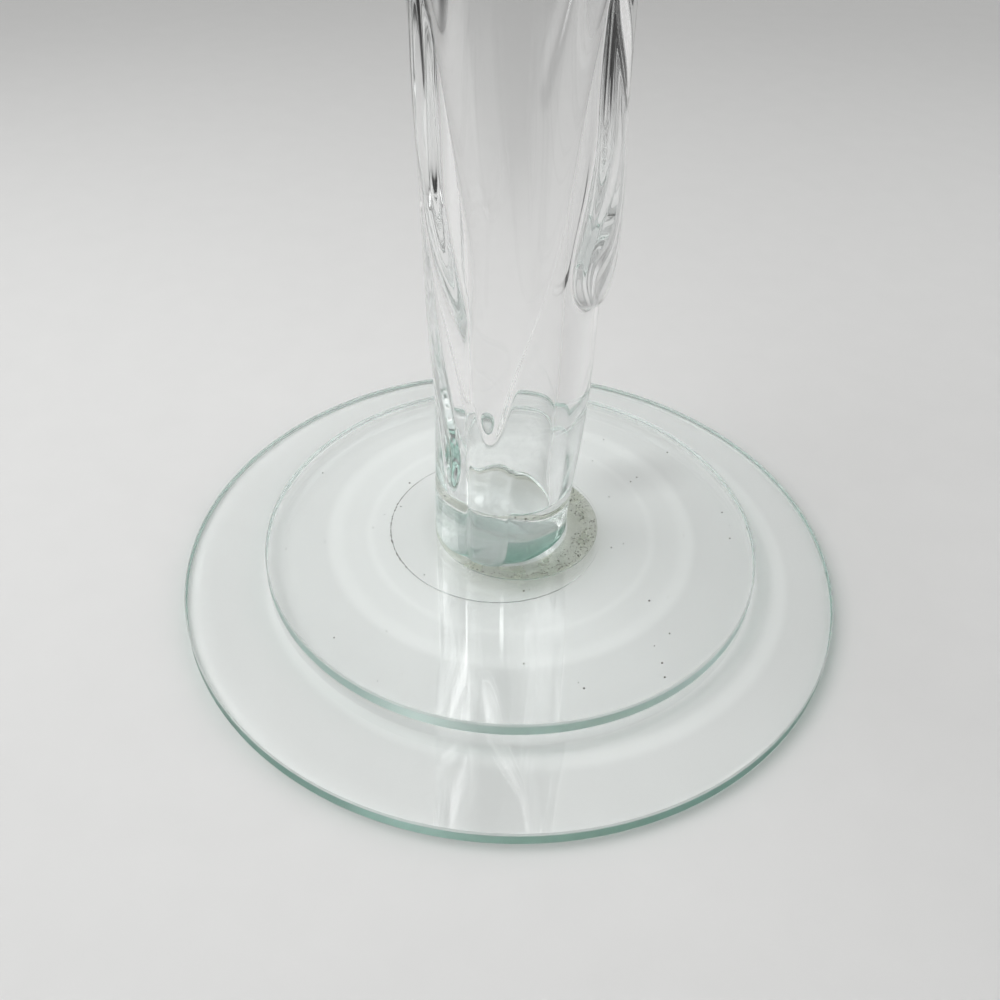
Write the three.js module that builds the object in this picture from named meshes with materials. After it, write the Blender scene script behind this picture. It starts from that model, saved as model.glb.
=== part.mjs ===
// Tall clear glass vase: a free-formed column with runs of glass down its sides,
// standing on two stepped discs of float glass. Millimetres, +Z up, table at z = 0.
import * as THREE from 'three';

// Base discs, cut from flat glass with lightly ground edges; the upper one lies a little to the back
const LOWER_DISC_DIAMETER = 220;
const LOWER_DISC_THICKNESS = 4.8;
const UPPER_DISC_DIAMETER = 169;
const UPPER_DISC_THICKNESS = 4.8;
const UPPER_DISC_OFFSET_Y = 6.7;
const EDGE_SEAM = 0.5;

// Clear adhesive: a drop between two plates spreads to a round film
const PLATE_BOND_THICKNESS = 0.2;
const PLATE_BOND_DIAMETER = 74;
const PLATE_BOND_OFFSET_X = -5.2;
const PLATE_BOND_OFFSET_Y = 10.3;
const COLUMN_BOND_THICKNESS = 0.3;
const COLUMN_BOND_MARGIN = 4.6;
const COLUMN_BOND_SHIFT = 4.6;

// Column: stands near the middle of the upper disc. Low down it bows a little to the right,
// and over its whole height it leans to the left.
const COLUMN_HEIGHT = 350;
const COLUMN_OFFSET_X = -2.8;
const COLUMN_OFFSET_Y = 9.7;
const COLUMN_LEAN = 1.6;
const BOW = 1.7;
const BOW_STARTS = [0, 70];
const BOW_ENDS = [90, 170];
const FOOT_RADIUS = 23.8;
const WAIST_RADIUS = 25;
const WAIST_HEIGHT = 103;
const MOUTH_RADIUS = 28.7;
const FLARE_LENGTH = 110;
const FOOT_ROUNDING = 1;

// Bore for the stems: a well with a flat floor, almost straight up to its shoulder and wider at the mouth
const BORE_FLOOR_HEIGHT = 18.5;
const BORE_CORNER = 2;
const BORE_FLOOR_RADIUS = 14.2;
const BORE_SHOULDER_HEIGHT = 154;
const BORE_SHOULDER_RADIUS = 14.6;
const LIP_WALL = 5;
const RIM_WAVE = 1.2;
const RIM_WAVE_COUNT = 3;

// Runs of glass. Heights are above the foot, angles in degrees from the front, positive to the right.
// A run ends below in a round tip with a bead, thickens above it, drifts sideways and widens as it rises.
const RUN_SIZES = ['tip', 'angle', 'drift', 'from', 'over', 'width', 'taper', 'flare', 'relief', 'bead'];
const RUNS = [
  [92, 58, 30, 96, 50, 30, 13, 0, 4, 3.4],
  [66, -29, -32, 68, 66, 11, 10, 0, 3, 0.8],
  [29, -47, -34, 35, 72, 10, 8, 0, 1.8, 0.6],
  [53, -14, 15, 68, 57, 25, 30, 0.0021, 4.2, 0],
  [133, -64, -10, 140, 62, 11, 8, 0.001, 2.7, 0.8],
  [142, 158, -34, 142, 44, 6, 8, 0, 1.5, 0],
  [190, -140, 14, 200, 80, 26, 24, 0.0006, 2.4, 0.8],
  [200, 34, -14, 210, 80, 20, 24, 0.0006, 3.4, 1],
  [236, -88, 12, 244, 70, 24, 20, 0.0006, 3.4, 1],
  [218, 140, 10, 226, 80, 22, 22, 0.0006, 3.6, 1],
].map((row) => Object.fromEntries(row.map((value, index) => [RUN_SIZES[index], value])));
const RUN_EDGE = 0.45;
const RUN_BLEND = 4;

// Lobes of the foot: the glass bulges between seams at these angles, and the seams die out as they rise.
const SEAM_ANGLES = [-98, -31, 4, 92];
const SEAM_DEPTH = 1.6;
const SEAM_TOP = 56;
const SEAM_FADE = 30;

// Flattened place on the right of the foot's front
const DENT_ANGLE = 45;
const DENT_HALF_WIDTH = 60;
const DENT_DEPTH = 3.8;
const DENT_TOP = 40;

// Facets
const DISC_SEGMENTS = 96;
const BOND_SEGMENTS = 48;
const COLUMN_SEGMENTS = 64;
const OUTER_RINGS = 60;
const RING_CROWDING = 1.3;
const LIP_RINGS = 4;
const BORE_RINGS = 14;
const BORE_CORNER_RINGS = 3;
const FOOT_RINGS = 2;

// Heights of the stack, from the table upwards
const PLATE_BOND_Z = LOWER_DISC_THICKNESS;
const UPPER_DISC_Z = PLATE_BOND_Z + PLATE_BOND_THICKNESS;
const COLUMN_BOND_Z = UPPER_DISC_Z + UPPER_DISC_THICKNESS;
const COLUMN_Z = COLUMN_BOND_Z + COLUMN_BOND_THICKNESS;

const { degToRad, lerp, smoothstep } = THREE.MathUtils;

// A quarter of the way round is the right-hand side; the front faces -Y.
function onSection(angle, radius, height) {
  const turn = degToRad(angle);
  const bow = BOW * (smoothstep(height, ...BOW_STARTS) - smoothstep(height, ...BOW_ENDS));
  const axis = bow - COLUMN_LEAN * height / COLUMN_HEIGHT;
  return new THREE.Vector3(axis + radius * Math.sin(turn), -radius * Math.cos(turn), height);
}

// Signed difference of two angles, between -180 and 180 degrees
function angleBetween(first, second) {
  return THREE.MathUtils.euclideanModulo(first - second + 180, 360) - 180;
}

// Thickness that one run adds to the column at a place on its surface
function runRelief(run, angle, height) {
  const above = height - run.tip;
  if (above <= 0) return 0;
  const centre = run.angle + run.drift * smoothstep(height, run.from, run.from + run.over);
  const across = angleBetween(angle, centre) / (run.width + run.flare * above * above);
  const fall = Math.exp(-above / run.taper);
  const inside = 1 - fall - across * across;
  if (inside <= 0) return 0;
  return (run.relief + run.bead * Math.sqrt(fall)) * Math.pow(inside, RUN_EDGE);
}

// Depth that the lobed foot lies below the core: nothing in the middle of a lobe, the whole depth in a seam
function seamDepth(angle, height) {
  const turns = SEAM_ANGLES.map((seam) => angleBetween(angle, seam));
  const after = Math.min(...turns.map((turn) => (turn >= 0 ? turn : turn + 360)));
  const before = Math.min(...turns.map((turn) => (turn <= 0 ? -turn : 360 - turn)));
  const across = (after - before) / Math.max(after + before, 1);
  return SEAM_DEPTH * Math.pow(across, 4) * (1 - smoothstep(height, SEAM_TOP - SEAM_FADE, SEAM_TOP));
}

// Depth of the flattened place: the whole depth in its middle at the foot, nothing at its sides and top
function dentDepth(angle, height) {
  const aside = Math.min(Math.abs(angleBetween(angle, DENT_ANGLE)) / DENT_HALF_WIDTH, 1);
  return DENT_DEPTH * Math.pow(Math.cos(aside * Math.PI / 2), 2) * (1 - smoothstep(height, 0, DENT_TOP));
}

// Radius of the plain core: it swells from the foot to the waist and flares to the mouth.
function coreRadius(height) {
  const swell = lerp(FOOT_RADIUS, WAIST_RADIUS, smoothstep(height, 0, WAIST_HEIGHT));
  const flare = Math.max(0, 1 - (COLUMN_HEIGHT - height) / FLARE_LENGTH);
  return swell + (MOUTH_RADIUS - WAIST_RADIUS) * flare * flare;
}

// Outer radius of the glass: the core less its seams and dent, with the runs blended over it
function outerRadius(angle, height) {
  const powers = RUNS.map((run) => Math.pow(runRelief(run, angle, height), RUN_BLEND));
  const runs = Math.pow(powers.reduce((sum, power) => sum + power, 0), 1 / RUN_BLEND);
  return coreRadius(height) - seamDepth(angle, height) - dentDepth(angle, height) + runs;
}

// Height of the rim, which waves gently round the mouth
function rimHeight(angle) {
  return COLUMN_HEIGHT + RIM_WAVE * (Math.sin(degToRad(RIM_WAVE_COUNT * angle)) - 1);
}

// Radius of the bore above its corner: a slight taper up to the shoulder and a spread to the lip
function boreRadius(height) {
  const taper = Math.min(1, (height - BORE_FLOOR_HEIGHT) / (BORE_SHOULDER_HEIGHT - BORE_FLOOR_HEIGHT));
  const spread = smoothstep(height, BORE_SHOULDER_HEIGHT, COLUMN_HEIGHT);
  const lip = outerRadiusAtMouth() - LIP_WALL;
  return lerp(BORE_FLOOR_RADIUS, BORE_SHOULDER_RADIUS, taper) + (lip - BORE_SHOULDER_RADIUS) * spread;
}

// The least outer radius round the mouth
function outerRadiusAtMouth() {
  const radii = ringAngles().map((angle) => outerRadius(angle, COLUMN_HEIGHT));
  return Math.min(...radii);
}

function ringAngles() {
  return Array.from({ length: COLUMN_SEGMENTS }, (_, index) => index * 360 / COLUMN_SEGMENTS);
}

// Rings of the column's surface in order: foot, outer wall, lip, bore wall and the bore's corner
function columnRings() {
  const angles = ringAngles();
  const rings = [];
  for (let step = 0; step < FOOT_RINGS; step += 1) {
    const turn = (step / FOOT_RINGS) * Math.PI / 2;
    const inset = FOOT_ROUNDING * (1 - Math.sin(turn));
    const height = FOOT_ROUNDING * (1 - Math.cos(turn));
    rings.push(angles.map((angle) => onSection(angle, outerRadius(angle, 0) - inset, height)));
  }
  for (let step = 0; step <= OUTER_RINGS; step += 1) {
    const share = Math.pow(step / OUTER_RINGS, RING_CROWDING);
    rings.push(angles.map((angle) => {
      const height = lerp(FOOT_ROUNDING, rimHeight(angle) - LIP_WALL / 2, share);
      return onSection(angle, outerRadius(angle, height), height);
    }));
  }
  for (let step = 1; step < LIP_RINGS; step += 1) {
    const turn = (step / LIP_RINGS) * Math.PI;
    rings.push(angles.map((angle) => {
      const base = rimHeight(angle) - LIP_WALL / 2;
      const outer = outerRadius(angle, base);
      const half = (outer - boreRadius(base)) / 2;
      return onSection(angle, outer - half * (1 - Math.cos(turn)), base + LIP_WALL / 2 * Math.sin(turn));
    }));
  }
  const cornerTop = BORE_FLOOR_HEIGHT + BORE_CORNER;
  for (let step = 0; step <= BORE_RINGS; step += 1) {
    const share = step / BORE_RINGS;
    rings.push(angles.map((angle) => {
      const height = lerp(rimHeight(angle) - LIP_WALL / 2, cornerTop, share);
      return onSection(angle, boreRadius(height), height);
    }));
  }
  for (let step = 1; step <= BORE_CORNER_RINGS; step += 1) {
    const turn = (step / BORE_CORNER_RINGS) * Math.PI / 2;
    const radius = boreRadius(cornerTop) - BORE_CORNER * (1 - Math.cos(turn));
    const height = cornerTop - BORE_CORNER * Math.sin(turn);
    rings.push(angles.map((angle) => onSection(angle, radius, height)));
  }
  return rings;
}

// Closed surface through the rings, with a fan over the first and the last
function loftRings(rings, firstCentre, lastCentre) {
  const points = rings.flat();
  const count = rings[0].length;
  const first = points.push(firstCentre) - 1;
  const last = points.push(lastCentre) - 1;
  const faces = [];
  const top = (rings.length - 1) * count;
  for (let side = 0; side < count; side += 1) {
    const next = (side + 1) % count;
    faces.push(first, next, side);
    faces.push(last, top + side, top + next);
    for (let ring = 0; ring < rings.length - 1; ring += 1) {
      const low = ring * count;
      const high = low + count;
      faces.push(low + side, low + next, high + next);
      faces.push(low + side, high + next, high + side);
    }
  }
  const geometry = new THREE.BufferGeometry().setFromPoints(points);
  geometry.setIndex(faces);
  geometry.computeVertexNormals();
  return geometry;
}

function columnGeometry() {
  const foot = onSection(0, 0, 0);
  const floor = onSection(0, 0, BORE_FLOOR_HEIGHT);
  return loftRings(columnRings(), foot, floor);
}

// A flat disc turned about +Z, with both rims ground off by the seam
function discGeometry(diameter, thickness, seam, segments) {
  const radius = diameter / 2;
  const profile = [
    new THREE.Vector2(0, 0),
    new THREE.Vector2(radius - seam, 0),
    new THREE.Vector2(radius, seam),
    new THREE.Vector2(radius, thickness - seam),
    new THREE.Vector2(radius - seam, thickness),
    new THREE.Vector2(0, thickness),
  ];
  return new THREE.LatheGeometry(profile, segments).rotateX(Math.PI / 2);
}

// A thin round film with straight sides
function filmGeometry(diameter, thickness) {
  const profile = [
    new THREE.Vector2(0, 0),
    new THREE.Vector2(diameter / 2, 0),
    new THREE.Vector2(diameter / 2, thickness),
    new THREE.Vector2(0, thickness),
  ];
  return new THREE.LatheGeometry(profile, BOND_SEGMENTS).rotateX(Math.PI / 2);
}

const floatGlass = new THREE.MeshStandardMaterial({ color: 0xcfe3dc, roughness: 0.04, metalness: 0 });
const clearGlass = new THREE.MeshStandardMaterial({ color: 0xf2f5f4, roughness: 0.03, metalness: 0 });
const clearAdhesive = new THREE.MeshStandardMaterial({ color: 0xeef0ec, roughness: 0.15, metalness: 0 });
const agedAdhesive = new THREE.MeshStandardMaterial({ color: 0xd9d8c4, roughness: 0.3, metalness: 0 });

const vase = new THREE.Group();

function addPiece(name, geometry, material, x, y, z) {
  const piece = new THREE.Mesh(geometry, material);
  piece.name = name;
  piece.position.set(x, y, z);
  vase.add(piece);
}

const lowerDisc = discGeometry(LOWER_DISC_DIAMETER, LOWER_DISC_THICKNESS, EDGE_SEAM, DISC_SEGMENTS);
const upperDisc = discGeometry(UPPER_DISC_DIAMETER, UPPER_DISC_THICKNESS, EDGE_SEAM, DISC_SEGMENTS);
const plateBond = filmGeometry(PLATE_BOND_DIAMETER, PLATE_BOND_THICKNESS);
const columnBond = filmGeometry(2 * (FOOT_RADIUS + COLUMN_BOND_MARGIN), COLUMN_BOND_THICKNESS);
const columnBondX = COLUMN_OFFSET_X + COLUMN_BOND_SHIFT;

addPiece('lower_base_disc', lowerDisc, floatGlass, 0, 0, 0);
addPiece('plate_bond_film', plateBond, clearAdhesive, PLATE_BOND_OFFSET_X, PLATE_BOND_OFFSET_Y, PLATE_BOND_Z);
addPiece('upper_base_disc', upperDisc, floatGlass, 0, UPPER_DISC_OFFSET_Y, UPPER_DISC_Z);
addPiece('column_bond_pad', columnBond, agedAdhesive, columnBondX, COLUMN_OFFSET_Y, COLUMN_BOND_Z);
addPiece('vase_column', columnGeometry(), clearGlass, COLUMN_OFFSET_X, COLUMN_OFFSET_Y, COLUMN_Z);

export default vase;
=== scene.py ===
# %% [markdown]
# # A clear glass vase on two glass discs
# The vase is a tall column of clear glass, formed while it was hot, so runs of glass have flowed down its
# sides and stopped in round tips. It is glued to two stepped discs of ordinary flat glass, whose edges look
# green. Everything here is see-through, so the looks come from shape, from how far light travels inside the
# glass and from where two pieces touch. This lesson sets up the picture first, and then builds the pieces in
# the order in which they stand on the table.

# %% Load the frame
import math

import bpy
from mathutils import Matrix, Vector


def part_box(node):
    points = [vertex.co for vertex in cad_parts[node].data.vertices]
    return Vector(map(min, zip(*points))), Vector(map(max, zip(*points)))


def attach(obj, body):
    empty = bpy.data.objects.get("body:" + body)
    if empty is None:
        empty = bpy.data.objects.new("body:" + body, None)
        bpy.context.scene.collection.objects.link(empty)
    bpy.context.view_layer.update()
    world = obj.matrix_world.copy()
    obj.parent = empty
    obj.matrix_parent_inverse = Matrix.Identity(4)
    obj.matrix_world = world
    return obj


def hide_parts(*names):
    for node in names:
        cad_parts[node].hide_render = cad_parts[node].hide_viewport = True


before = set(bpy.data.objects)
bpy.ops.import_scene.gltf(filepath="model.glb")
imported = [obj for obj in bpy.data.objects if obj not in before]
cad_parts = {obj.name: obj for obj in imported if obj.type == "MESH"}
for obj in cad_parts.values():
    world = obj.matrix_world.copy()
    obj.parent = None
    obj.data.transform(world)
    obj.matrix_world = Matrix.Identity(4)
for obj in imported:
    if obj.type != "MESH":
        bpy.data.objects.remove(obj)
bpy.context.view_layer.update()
scene = bpy.context.scene
MM = 0.001

# %% [markdown]
# ## Camera
# The photograph looks down on the base from about 40 cm away, close enough for a clear perspective. A
# camera's place can be guessed by eye, but the two discs are circles, and the ellipses that they make in the
# picture fix the height, the tilt and a small roll of the hand. Those values are written here as real sizes.

# %% Camera
IMAGE_PIXELS = 1000
FOCAL_PIXELS = 1050
SENSOR_MM = 36
CAMERA_BACK = 264.05 * MM
CAMERA_UP = 257.57 * MM
CAMERA_PITCH = 0.71485
CAMERA_YAW = -0.01155
CAMERA_ROLL = 0.04095
CLIP_START = 10 * MM


def camera_axes(pitch, yaw, roll):
    """Right, up and forward directions of a camera that looks along +Y and down by its pitch."""
    level_right = Vector((1, 0, 0))
    pitched = Vector((0, math.cos(pitch), -math.sin(pitch)))
    raised = Vector((0, math.sin(pitch), math.cos(pitch)))
    forward = pitched * math.cos(yaw) + level_right * math.sin(yaw)
    turned = level_right * math.cos(yaw) - pitched * math.sin(yaw)
    right = turned * math.cos(roll) + raised * math.sin(roll)
    return right, raised * math.cos(roll) - turned * math.sin(roll), forward


right, up, forward = camera_axes(CAMERA_PITCH, CAMERA_YAW, CAMERA_ROLL)
camera_data = bpy.data.cameras.new("photo_camera")
camera_data.sensor_width = SENSOR_MM
camera_data.lens = SENSOR_MM * FOCAL_PIXELS / IMAGE_PIXELS
camera_data.clip_start = CLIP_START
camera = bpy.data.objects.new("photo_camera", camera_data)
camera.matrix_world = Matrix((
    (right.x, up.x, -forward.x, 0),
    (right.y, up.y, -forward.y, -CAMERA_BACK),
    (right.z, up.z, -forward.z, CAMERA_UP),
    (0, 0, 0, 1),
))
scene.collection.objects.link(camera)
scene.camera = camera
print("camera lens in mm:", round(camera_data.lens, 2))

# %% [markdown]
# ## Helpers for nodes and meshes
# Shader trees and geometry trees use the same Math node, so one short helper serves both: it takes numbers
# or sockets and gives back the result's socket. Another helper turns a profile round the Z axis into a closed
# mesh, because every large piece of this vase starts from something round.

# %% Helpers for nodes
def connect(tree, value, socket):
    """Link a socket, or write a plain value into it."""
    if isinstance(value, bpy.types.NodeSocket):
        tree.links.new(value, socket)
    else:
        socket.default_value = value


def math_of(tree, operation, *values):
    """A Math node on numbers or sockets, and its result."""
    node = tree.nodes.new("ShaderNodeMath")
    node.operation = operation
    for value, socket in zip(values, node.inputs):
        connect(tree, value, socket)
    return node.outputs[0]


def smooth_step(tree, value, low, high):
    """0 below low, 1 above high, with a smooth rise between them."""
    node = tree.nodes.new("ShaderNodeMapRange")
    node.interpolation_type = "SMOOTHSTEP"
    for item, name in ((value, "Value"), (low, "From Min"), (high, "From Max")):
        connect(tree, item, node.inputs[name])
    return node.outputs["Result"]


def new_group(name, kind, inputs, outputs):
    """An empty node group with named float inputs and outputs."""
    tree = bpy.data.node_groups.new(name, kind)
    for label in inputs:
        tree.interface.new_socket(label, in_out="INPUT", socket_type="NodeSocketFloat")
    for label in outputs:
        tree.interface.new_socket(label, in_out="OUTPUT", socket_type="NodeSocketFloat")
    return tree, tree.nodes.new("NodeGroupInput").outputs, tree.nodes.new("NodeGroupOutput").inputs


print("node helpers:", ", ".join(f.__name__ for f in (connect, math_of, smooth_step, new_group)))

# %% Helpers for meshes
def turned_mesh(name, profile, segments):
    """A closed mesh from a profile of (radius, height) that starts and ends on the axis."""
    rings = profile[1:-1]
    points = [(0, 0, profile[0][1]), (0, 0, profile[-1][1])]
    for radius, height in rings:
        for step in range(segments):
            turn = 2 * math.pi * step / segments
            points.append((radius * math.sin(turn), -radius * math.cos(turn), height))
    faces = []
    last = 2 + (len(rings) - 1) * segments
    for step in range(segments):
        after = (step + 1) % segments
        faces.append((0, 2 + after, 2 + step))
        faces.append((1, last + step, last + after))
        for ring in range(len(rings) - 1):
            low = 2 + ring * segments
            high = low + segments
            faces.append((low + step, low + after, high + after, high + step))
    mesh = bpy.data.meshes.new(name)
    mesh.from_pydata(points, [], faces)
    mesh.shade_smooth()
    return mesh


def place(name, mesh, material):
    """Link a finished mesh as an object at the origin."""
    piece = bpy.data.objects.new(name, mesh)
    mesh.materials.clear()
    mesh.materials.append(material)
    scene.collection.objects.link(piece)
    return piece


print("mesh helpers:", ", ".join(f.__name__ for f in (turned_mesh, place)))

# %% [markdown]
# ## Table
# The vase stands on a pale table, one large plane just under the lower disc, because two faces in the same
# place would flicker. Clear glass only shows what lies around it, and in an all-white room it would vanish.
# So rays that the glass has bent see the table end and a dark room begin, which draws dark strokes in the
# runs. The camera, and rays that go straight through the column's two walls, see a pale table and backdrop.
# The discs' edges also gather light in faint rings on the table, and the column's shadow lies at its right.
# Tracing light through so much glass takes many samples, so curves over the distance from a centre lighten
# and darken the table under the discs: two for the rings, and three small ones in a row for the shadow.

# %% Rings of light and a shadow
RING_SPAN = 125
INNER_CENTRE = (0, 13)
INNER_RINGS = (
    (0, 0.94), (29, 0.94), (33, 1.05), (48, 1.06), (50, 1.12), (52, 1.04), (58, 1.04), (61, 1.1),
    (63.5, 1.1), (66, 0.98), (77, 0.98), (83, 0.96), (90, 1),
)
OUTER_CENTRE = (5.4, 3.3)
OUTER_RINGS = ((80, 1), (84, 0.93), (86.5, 1.02), (89, 1.02), (91.5, 0.92), (107, 0.93), (113, 1))
SHADOW_CENTRES = ((37.1, 41.8), (46.7, 44.8), (57.3, 48.4))
SHADOW_STOPS = ((0, 0.86), (5, 0.89), (14, 1))


def distance_from(tree, x, y, middle_x, middle_y):
    """Distance in the table's plane from a point in metres."""
    across = math_of(tree, "SUBTRACT", x, middle_x)
    along = math_of(tree, "SUBTRACT", y, middle_y)
    squares = math_of(tree, "MULTIPLY", across, across)
    return math_of(tree, "SQRT", math_of(tree, "MULTIPLY_ADD", along, along, squares))


def ring_light(tree, x, y, centre, stops):
    """Share of its light that the table keeps or gains, by distance in mm from a centre."""
    distance = distance_from(tree, x, y, *(value * MM for value in centre))
    curve = tree.nodes.new("ShaderNodeFloatCurve")
    tree.links.new(math_of(tree, "DIVIDE", distance, RING_SPAN * MM), curve.inputs["Value"])
    points = curve.mapping.curves[0].points
    while len(points) < len(stops):
        points.new(0.5, 0.5)
    for point, (reach, share) in zip(points, stops):
        point.location = (reach / RING_SPAN, share / 2)
        point.handle_type = "VECTOR"
    curve.mapping.extend = "HORIZONTAL"
    curve.mapping.update()
    return math_of(tree, "MULTIPLY", curve.outputs["Value"], 2.0)


def table_light(tree, x, y):
    """The rings of light and the column's shadow, as one factor on the table's colour."""
    inner = ring_light(tree, x, y, INNER_CENTRE, INNER_RINGS)
    light = math_of(tree, "MULTIPLY", inner, ring_light(tree, x, y, OUTER_CENTRE, OUTER_RINGS))
    for centre in SHADOW_CENTRES:
        light = math_of(tree, "MULTIPLY", light, ring_light(tree, x, y, centre, SHADOW_STOPS))
    return light


print("rings of light end, in mm, at", INNER_RINGS[-1][0], "and", OUTER_RINGS[-1][0])

# %% Table material
TABLE_ROUGHNESS = 0.75
TABLE_SPECULAR = 0.25
MOTTLE_SCALE = 60
MOTTLE_DETAIL = 6
MOTTLE_SHADE = 0.96
FLOOR_COLOUR = (0.74, 0.74, 0.735, 1)
ROOM_COLOUR = (0.05, 0.05, 0.05, 1)
TABLE_FRONT = -0.22
TABLE_SIDE = 0.5
TABLE_BACK = 0.95
EDGE_SOFTNESS = 0.15
BACKDROP_GLOW = 0.32
BACKDROP_STARTS = 0.6
BACKDROP_ENDS = 1.7
THROUGH_WALLS = 4


def straight_view(tree):
    """1 for camera rays, and for rays that have crossed the column's two walls and nothing more."""
    rays = tree.nodes.new("ShaderNodeLightPath").outputs
    walls = math_of(tree, "COMPARE", rays["Ray Depth"], float(THROUGH_WALLS), 0.5)
    walls = math_of(tree, "MULTIPLY", walls, rays["Is Transmission Ray"])
    return math_of(tree, "MAXIMUM", rays["Is Camera Ray"], walls)


def table_material():
    """Pale matt table with a faint mottle; for bent rays it ends and a dark room begins."""
    material = bpy.data.materials.new("pale_table")
    material.use_nodes = True
    tree = material.node_tree
    shader = tree.nodes["Principled BSDF"]
    shader.inputs["Roughness"].default_value = TABLE_ROUGHNESS
    shader.inputs["Specular IOR Level"].default_value = TABLE_SPECULAR
    noise = tree.nodes.new("ShaderNodeTexNoise")
    noise.inputs["Scale"].default_value = MOTTLE_SCALE
    noise.inputs["Detail"].default_value = MOTTLE_DETAIL
    coordinates = tree.nodes.new("ShaderNodeTexCoord")
    tree.links.new(coordinates.outputs["Object"], noise.inputs["Vector"])
    mix = tree.nodes.new("ShaderNodeMix")
    mix.data_type = "RGBA"
    tree.links.new(noise.outputs["Fac"], mix.inputs["Factor"])
    mix.inputs["A"].default_value = FLOOR_COLOUR
    mix.inputs["B"].default_value = tuple(MOTTLE_SHADE * c for c in FLOOR_COLOUR[:3]) + (1,)
    split = tree.nodes.new("ShaderNodeSeparateXYZ")
    tree.links.new(coordinates.outputs["Object"], split.inputs[0])
    x, y, _ = split.outputs
    aside = smooth_step(tree, math_of(tree, "ABSOLUTE", x), TABLE_SIDE, TABLE_SIDE + EDGE_SOFTNESS)
    before = smooth_step(tree, y, TABLE_FRONT, TABLE_FRONT - EDGE_SOFTNESS)
    beyond = smooth_step(tree, y, TABLE_BACK, TABLE_BACK + EDGE_SOFTNESS)
    off_table = math_of(tree, "MAXIMUM", aside, math_of(tree, "MAXIMUM", before, beyond))
    rays = tree.nodes.new("ShaderNodeLightPath").outputs
    through_glass = math_of(tree, "MAXIMUM", rays["Is Glossy Ray"], rays["Is Transmission Ray"])
    room = tree.nodes.new("ShaderNodeMix")
    room.data_type = "RGBA"
    straight = straight_view(tree)
    bent = math_of(tree, "MULTIPLY", through_glass, math_of(tree, "SUBTRACT", 1.0, straight))
    tree.links.new(math_of(tree, "MULTIPLY", off_table, bent), room.inputs["Factor"])
    far = smooth_step(tree, distance_from(tree, x, y, 0.0, 0.0), BACKDROP_STARTS, BACKDROP_ENDS)
    glow = math_of(tree, "MULTIPLY", math_of(tree, "MULTIPLY", far, straight), BACKDROP_GLOW)
    tree.links.new(glow, shader.inputs["Emission Strength"])
    lit = tree.nodes.new("ShaderNodeVectorMath")
    lit.operation = "SCALE"
    tree.links.new(mix.outputs["Result"], lit.inputs[0])
    tree.links.new(table_light(tree, x, y), lit.inputs["Scale"])
    tree.links.new(lit.outputs[0], room.inputs["A"])
    room.inputs["B"].default_value = ROOM_COLOUR
    tree.links.new(room.outputs["Result"], shader.inputs["Base Color"])
    return material


print("table colour:", FLOOR_COLOUR)

# %% Table
FLOOR_HALF_SIZE = 3.0
FLOOR_DROP = 0.15 * MM
around = ((-1, -1), (1, -1), (1, 1), (-1, 1))
corners = [(FLOOR_HALF_SIZE * a, FLOOR_HALF_SIZE * b, -FLOOR_DROP) for a, b in around]
floor_mesh = bpy.data.meshes.new("table")
floor_mesh.from_pydata(corners, [], [(0, 1, 2, 3)])
floor = place("table", floor_mesh, table_material())
print("table half size in metres:", FLOOR_HALF_SIZE)

# %% [markdown]
# ## World and lamps
# A large soft lamp at the left gives the shadow at the right, and a dim one at the right opens that shadow.
# The world lights the table evenly. Glass sees more of it: a pale horizon, grey sides, a dark front, and a
# bright patch high behind the vase that only mirrors in the discs. Light Path tells these rays apart.

# %% World
BACKDROP_GREY = 0.62
WORLD_LIGHT = 0.41
HORIZON_GREY = 0.5
BACK_GREY = 0.4
MIRROR_GREY = 1.8
SIDE_GREY = 0.38
FRONT_GREY = 0.03
WORLD_TINT = (1, 1, 0.99, 1)
FRONT_TO_SIDE = (-0.6, -0.2)
PATCH_DEPTH = (0.25, 0.45)
PATCH_HEIGHT = (0.5, 0.62)
PATCH_WIDTH = (0.4, 0.22)
ABOVE_HORIZON = (0.06, 0.2)


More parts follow.
